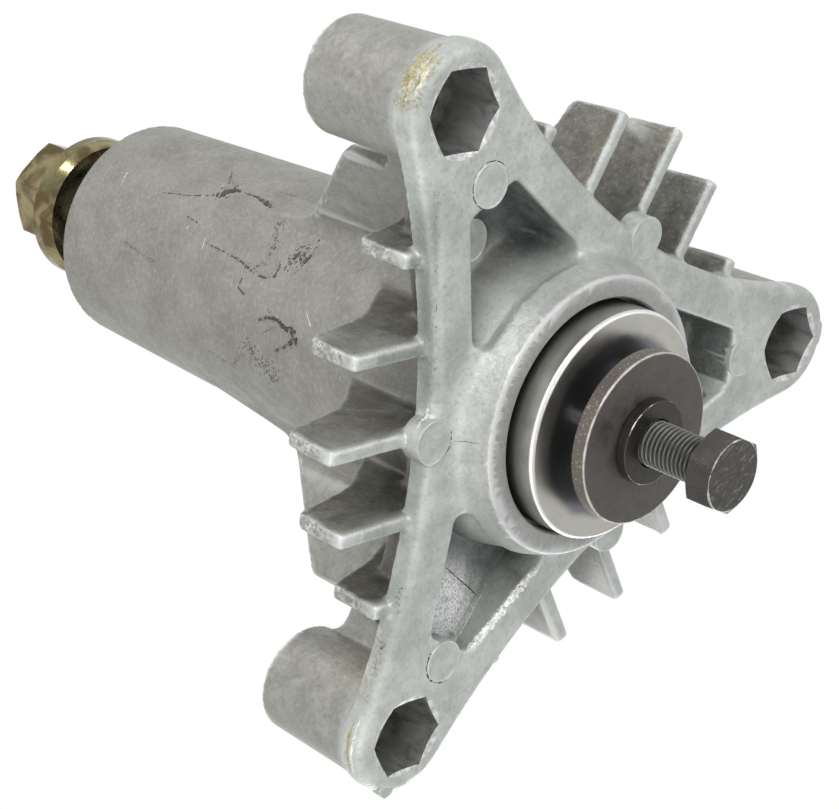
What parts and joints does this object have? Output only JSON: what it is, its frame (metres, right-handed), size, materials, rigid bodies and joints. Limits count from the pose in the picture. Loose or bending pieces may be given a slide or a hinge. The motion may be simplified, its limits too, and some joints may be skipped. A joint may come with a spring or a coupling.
{
  "type": "mower deck spindle",
  "caption": "Mower blade holder: die-cast three-cornered bearing housing with cooling fins and long neck; shaft with blade disc and star boss, blade bolt and washers, cup washer and nut.",
  "frame": {"origin": "on the shaft axis, in the plane of the three deck seats", "axes": "+Z along the shaft axis towards the pulley nut, -Z towards the blade; +Y towards one of the three deck bolts"},
  "size_m": [0.1518, 0.1455, 0.2171],
  "materials": {
    "die_cast": "die-cast skin, satin, stained",
    "shaft_steel": "turned steel, oily",
    "bearing_steel": "ground",
    "ball_steel": "polished",
    "cage_steel": "pressed",
    "seal_rubber": "matt",
    "spacer_steel": "drawn tube",
    "blackened_steel": "blackened, worn",
    "bolt_steel": "dark phosphate, scuffed",
    "yellow_zinc": "yellow zinc plate"
  },
  "bodies": {
    "housing": {"housing": "die_cast", "lower_outer_race": "bearing_steel", "upper_outer_race": "bearing_steel", "lower_front_seal": "seal_rubber", "lower_back_seal": "seal_rubber", "upper_front_seal": "seal_rubber", "upper_back_seal": "seal_rubber"},
    "spindle": {"spindle_shaft": "shaft_steel", "bearing_spacer": "spacer_steel", "lower_inner_race": "bearing_steel", "upper_inner_race": "bearing_steel", "blade_washer": "blackened_steel", "lock_washer": "blackened_steel", "blade_bolt": "bolt_steel", "pulley_cup_washer": "yellow_zinc", "pulley_nut": "yellow_zinc"},
    "lower_bearing_cage": {"lower_balls": "ball_steel", "lower_cage": "cage_steel"},
    "upper_bearing_cage": {"upper_balls": "ball_steel", "upper_cage": "cage_steel"}
  },
  "joints": [
    {"name": "spindle_spin", "type": "hinge", "parent": "housing", "child": "spindle", "pos_m": [0, 0, 0], "axis": [0, 0, 1], "continuous": true},
    {"name": "lower_cage_spin", "type": "hinge", "parent": "housing", "child": "lower_bearing_cage", "pos_m": [0, 0, -0.0264], "axis": [0, 0, 1], "continuous": true},
    {"name": "upper_cage_spin", "type": "hinge", "parent": "housing", "child": "upper_bearing_cage", "pos_m": [0, 0, 0.0957], "axis": [0, 0, 1], "continuous": true}
  ],
  "couplings": [
    {"joint": "lower_cage_spin", "follows": "spindle_spin", "ratio": 0.3815},
    {"joint": "upper_cage_spin", "follows": "spindle_spin", "ratio": 0.3818}
  ]
}
